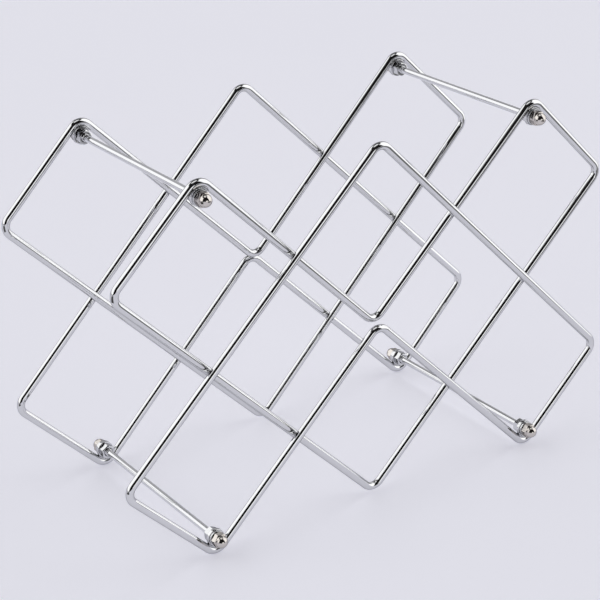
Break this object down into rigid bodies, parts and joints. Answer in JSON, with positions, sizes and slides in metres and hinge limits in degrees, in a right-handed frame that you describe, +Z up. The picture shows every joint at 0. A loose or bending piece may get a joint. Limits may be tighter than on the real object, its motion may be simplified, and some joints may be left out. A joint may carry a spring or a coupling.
{
  "type": "wine rack",
  "caption": "Counter-top wine rack of crossed, bent chromed wire loops in two leaning panels, joined by tie rods with acorn nuts; holds bottles lying down.",
  "frame": {"origin": "on the table, under the middle of the rack: the bottom centre of the bounding box", "axes": "+X along the front to the right, +Y from the front panel to the rear panel, +Z up"},
  "size_m": [0.4226, 0.1924, 0.282],
  "materials": {
    "wire_chrome": "bright mirror chrome plate on drawn steel wire and welded ring lugs",
    "rod_chrome": "bright chrome plate on plain steel rod with rolled threads at both ends",
    "zinc_plate": "zinc plate, slightly duller than the wire",
    "nickel_plate": "bright nickel plate with a faint warm tint"
  },
  "bodies": {
    "root": {"front_peak_wire": "wire_chrome", "front_vee_wire": "wire_chrome", "front_top_left_lug": "wire_chrome", "front_top_right_lug": "wire_chrome", "front_bottom_left_lug": "wire_chrome", "front_bottom_right_lug": "wire_chrome", "rear_peak_wire": "wire_chrome", "rear_vee_wire": "wire_chrome", "rear_top_left_lug": "wire_chrome", "rear_top_right_lug": "wire_chrome", "rear_bottom_left_lug": "wire_chrome", "rear_bottom_right_lug": "wire_chrome", "top_left_tie_rod": "rod_chrome", "top_right_tie_rod": "rod_chrome", "bottom_left_tie_rod": "rod_chrome", "bottom_right_tie_rod": "rod_chrome", "front_top_left_inner_nut": "zinc_plate", "front_top_left_washer": "zinc_plate", "front_top_left_acorn_nut": "nickel_plate", "front_top_right_inner_nut": "zinc_plate", "front_top_right_washer": "zinc_plate", "front_top_right_acorn_nut": "nickel_plate", "front_bottom_left_inner_nut": "zinc_plate", "front_bottom_left_washer": "zinc_plate", "front_bottom_left_acorn_nut": "nickel_plate", "front_bottom_right_inner_nut": "zinc_plate", "front_bottom_right_washer": "zinc_plate", "front_bottom_right_acorn_nut": "nickel_plate", "rear_top_left_inner_nut": "zinc_plate", "rear_top_left_washer": "zinc_plate", "rear_top_left_acorn_nut": "nickel_plate", "rear_top_right_inner_nut": "zinc_plate", "rear_top_right_washer": "zinc_plate", "rear_top_right_acorn_nut": "nickel_plate", "rear_bottom_left_inner_nut": "zinc_plate", "rear_bottom_left_washer": "zinc_plate", "rear_bottom_left_acorn_nut": "nickel_plate", "rear_bottom_right_inner_nut": "zinc_plate", "rear_bottom_right_washer": "zinc_plate", "rear_bottom_right_acorn_nut": "nickel_plate"}
  },
  "joints": []
}
